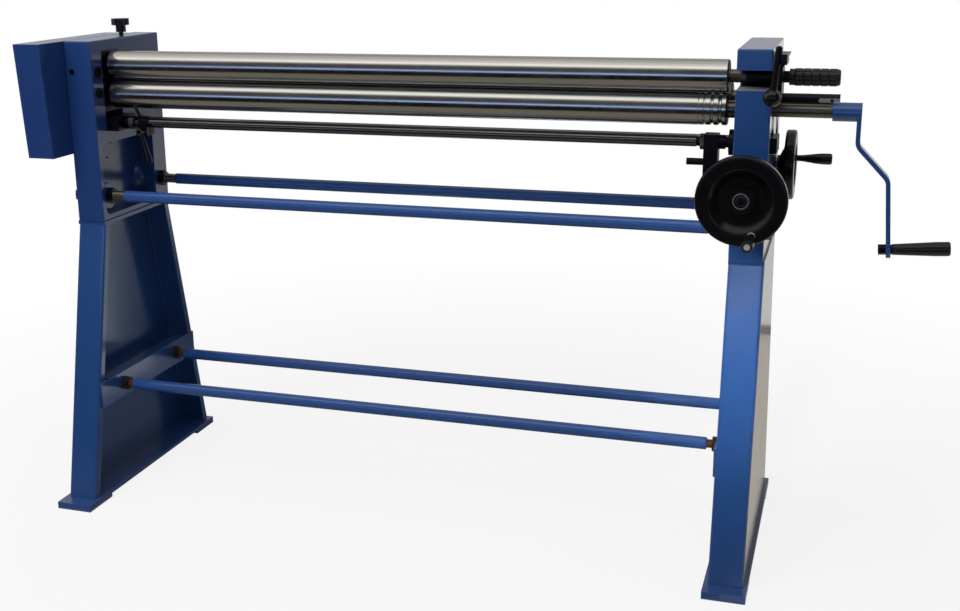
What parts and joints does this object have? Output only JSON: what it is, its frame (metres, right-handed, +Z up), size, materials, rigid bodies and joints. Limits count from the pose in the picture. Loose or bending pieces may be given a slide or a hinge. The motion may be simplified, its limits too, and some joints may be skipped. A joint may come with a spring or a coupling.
{
  "type": "plate rolling machine",
  "caption": "Hand-cranked slip roll for bending sheet metal: steel rolls between two housings on folded stands, with handwheels to set them and a swing-out upper roll.",
  "frame": {"origin": "on the floor, at the middle of the machine's overall length and depth", "axes": "+X along the rolls towards the crank, +Y from the operator to the back, +Z up"},
  "size_m": [1.814, 0.574, 1.022],
  "materials": {
    "blue_paint": "gloss blue paint",
    "ground_steel": "ground and polished",
    "black_steel": "black oxide, slightly glossy",
    "grey_steel": "plain machined steel",
    "black_plastic": "gloss black",
    "black_rubber": "ribbed rubber",
    "bronze": "turned bearing bronze"
  },
  "bodies": {
    "frame": {"housing_left": "blue_paint", "housing_right": "blue_paint", "stand_left": "blue_paint", "stand_right": "blue_paint", "stand_tops": "blue_paint", "stand_brace_left": "blue_paint", "stand_brace_right": "blue_paint", "base_plates": "blue_paint", "foot_pads": "blue_paint", "upper_tie_rods": "blue_paint", "lower_tie_rods": "blue_paint", "upper_rod_nuts": "black_steel", "lower_rod_nuts": "black_steel", "gear_cover": "blue_paint", "upper_block_base": "grey_steel", "upper_block_cap": "grey_steel", "bearing_screws": "black_steel", "clamp_collar": "black_steel", "shaft_flange": "black_steel", "shaft_bracket": "black_steel", "bracket_bar": "black_steel", "end_cap": "black_steel", "keeper_plates": "grey_steel"},
    "lower_slide": {"lower_block_left": "grey_steel", "lower_block_right": "grey_steel"},
    "lower_roll": {"lower_roll": "ground_steel", "lower_gear": "grey_steel", "crank_arm": "blue_paint", "crank_bolt": "black_steel"},
    "crank_handle": {"crank_handle": "black_plastic"},
    "rear_slide": {"rear_block_left": "grey_steel", "rear_block_right": "grey_steel"},
    "rear_roll": {"rear_roll": "ground_steel"},
    "swing": {"swivel_bush": "bronze", "upper_sleeve": "black_steel", "roll_grip": "black_rubber", "latch_plate": "black_steel"},
    "latch": {"latch_lever": "black_steel", "latch_ball": "black_plastic"},
    "upper_roll": {"upper_roll": "ground_steel"},
    "upper_gear": {"upper_gear": "grey_steel"},
    "front_wheel": {"front_wheel": "black_plastic", "front_stud": "ground_steel", "front_spindle": "grey_steel"},
    "front_handle": {"front_handle": "black_plastic"},
    "lift_screw_right": {"lift_screw_right": "grey_steel"},
    "lift_screw_left": {"lift_screw_left": "grey_steel"},
    "cross_shaft": {"cross_shaft": "ground_steel", "shaft_nut": "black_steel"},
    "side_wheel": {"side_wheel": "black_plastic", "side_stud": "ground_steel", "side_spindle": "grey_steel"},
    "side_handle": {"side_handle": "black_plastic"},
    "rear_screw_right": {"rear_screw_right": "grey_steel"},
    "rear_screw_left": {"rear_screw_left": "grey_steel"},
    "rear_shaft": {"rear_shaft": "black_steel"},
    "star_knob": {"star_knob": "black_plastic"},
    "clamp_lever": {"clamp_lever": "black_steel"}
  },
  "joints": [
    {"name": "lower_roll_lift", "type": "slide", "parent": "frame", "child": "lower_slide", "axis": [0, 0, 1], "range_m": [-0.006, 0]},
    {"name": "lower_roll_spin", "type": "hinge", "parent": "lower_slide", "child": "lower_roll", "pos_m": [-0.13, -0.037, 0.8709], "axis": [1, 0, 0], "continuous": true},
    {"name": "crank_handle_spin", "type": "hinge", "parent": "lower_roll", "child": "crank_handle", "pos_m": [0.80093, -0.037, 0.62421], "axis": [0.9976, 0, 0.0698], "continuous": true},
    {"name": "rear_roll_lift", "type": "slide", "parent": "frame", "child": "rear_slide", "axis": [0, -0.549, 0.8358], "range_m": [0, 0.03]},
    {"name": "rear_roll_spin", "type": "hinge", "parent": "rear_slide", "child": "rear_roll", "pos_m": [-0.13, 0.043, 0.882], "axis": [1, 0, 0], "continuous": true},
    {"name": "upper_roll_swing", "type": "hinge", "parent": "frame", "child": "swing", "pos_m": [-0.812, -0.037, 0.9315], "axis": [0, 0, -1], "range_deg": [0, 5]},
    {"name": "upper_roll_spin", "type": "hinge", "parent": "swing", "child": "upper_roll", "pos_m": [-0.13, -0.037, 0.9315], "axis": [1, 0, 0], "continuous": true},
    {"name": "latch_lever_turn", "type": "hinge", "parent": "swing", "child": "latch", "pos_m": [0.5957, -0.132, 0.971], "axis": [-1, 0, 0], "range_deg": [0, 100]},
    {"name": "upper_gear_spin", "type": "hinge", "parent": "frame", "child": "upper_gear", "pos_m": [-0.872, -0.037, 0.9315], "axis": [1, 0, 0], "continuous": true},
    {"name": "front_wheel_turn", "type": "hinge", "parent": "frame", "child": "front_wheel", "pos_m": [0.55, -0.149, 0.7317], "axis": [0, -1, 0], "range_deg": [0, 1080]},
    {"name": "front_handle_spin", "type": "hinge", "parent": "front_wheel", "child": "front_handle", "pos_m": [0.571, -0.201, 0.6717], "axis": [0, -1, 0], "continuous": true},
    {"name": "lift_screw_right_turn", "type": "hinge", "parent": "frame", "child": "lift_screw_right", "pos_m": [0.55, -0.037, 0.8099], "axis": [0, 0, 1], "range_deg": [-1080, 0]},
    {"name": "lift_screw_left_turn", "type": "hinge", "parent": "frame", "child": "lift_screw_left", "pos_m": [-0.81, -0.037, 0.8099], "axis": [0, 0, 1], "range_deg": [0, 1080]},
    {"name": "cross_shaft_turn", "type": "hinge", "parent": "frame", "child": "cross_shaft", "pos_m": [-0.13, -0.037, 0.8099], "axis": [1, 0, 0], "range_deg": [0, 1080]},
    {"name": "side_wheel_turn", "type": "hinge", "parent": "frame", "child": "side_wheel", "pos_m": [0.5885, 0.13386, 0.74367], "axis": [1, 0, 0], "range_deg": [0, 3600]},
    {"name": "side_handle_spin", "type": "hinge", "parent": "side_wheel", "child": "side_handle", "pos_m": [0.623, 0.18386, 0.74867], "axis": [1, 0, 0], "continuous": true},
    {"name": "rear_screw_right_turn", "type": "hinge", "parent": "frame", "child": "rear_screw_right", "pos_m": [0.55, 0.10169, 0.79265], "axis": [0, -0.549, 0.8358], "range_deg": [-3600, 0]},
    {"name": "rear_screw_left_turn", "type": "hinge", "parent": "frame", "child": "rear_screw_left", "pos_m": [-0.81, 0.10169, 0.79265], "axis": [0, -0.549, 0.8358], "range_deg": [0, 3600]},
    {"name": "rear_shaft_turn", "type": "hinge", "parent": "frame", "child": "rear_shaft", "pos_m": [-0.13, 0.10169, 0.79265], "axis": [1, 0, 0], "range_deg": [0, 3600]},
    {"name": "star_knob_turn", "type": "hinge", "parent": "frame", "child": "star_knob", "pos_m": [-0.818, 0.063, 0.986], "axis": [0, 0, 1], "range_deg": [-180, 180]},
    {"name": "clamp_lever_turn", "type": "hinge", "parent": "frame", "child": "clamp_lever", "pos_m": [-0.712, -0.037, 0.7934], "axis": [0, -1, 0], "range_deg": [-40, 40]}
  ],
  "couplings": [
    {"joint": "upper_roll_spin", "follows": "lower_roll_spin", "ratio": -1},
    {"joint": "upper_gear_spin", "follows": "lower_roll_spin", "ratio": -1},
    {"joint": "front_wheel_turn", "follows": "lower_roll_lift", "rad_per_m": -3141.6},
    {"joint": "lift_screw_right_turn", "follows": "lower_roll_lift", "rad_per_m": 3141.6},
    {"joint": "cross_shaft_turn", "follows": "lower_roll_lift", "rad_per_m": -3141.6},
    {"joint": "lift_screw_left_turn", "follows": "lower_roll_lift", "rad_per_m": -3141.6},
    {"joint": "side_wheel_turn", "follows": "rear_roll_lift", "rad_per_m": 2094.4},
    {"joint": "rear_screw_right_turn", "follows": "rear_roll_lift", "rad_per_m": -2094.4},
    {"joint": "rear_shaft_turn", "follows": "rear_roll_lift", "rad_per_m": 2094.4},
    {"joint": "rear_screw_left_turn", "follows": "rear_roll_lift", "rad_per_m": 2094.4}
  ]
}
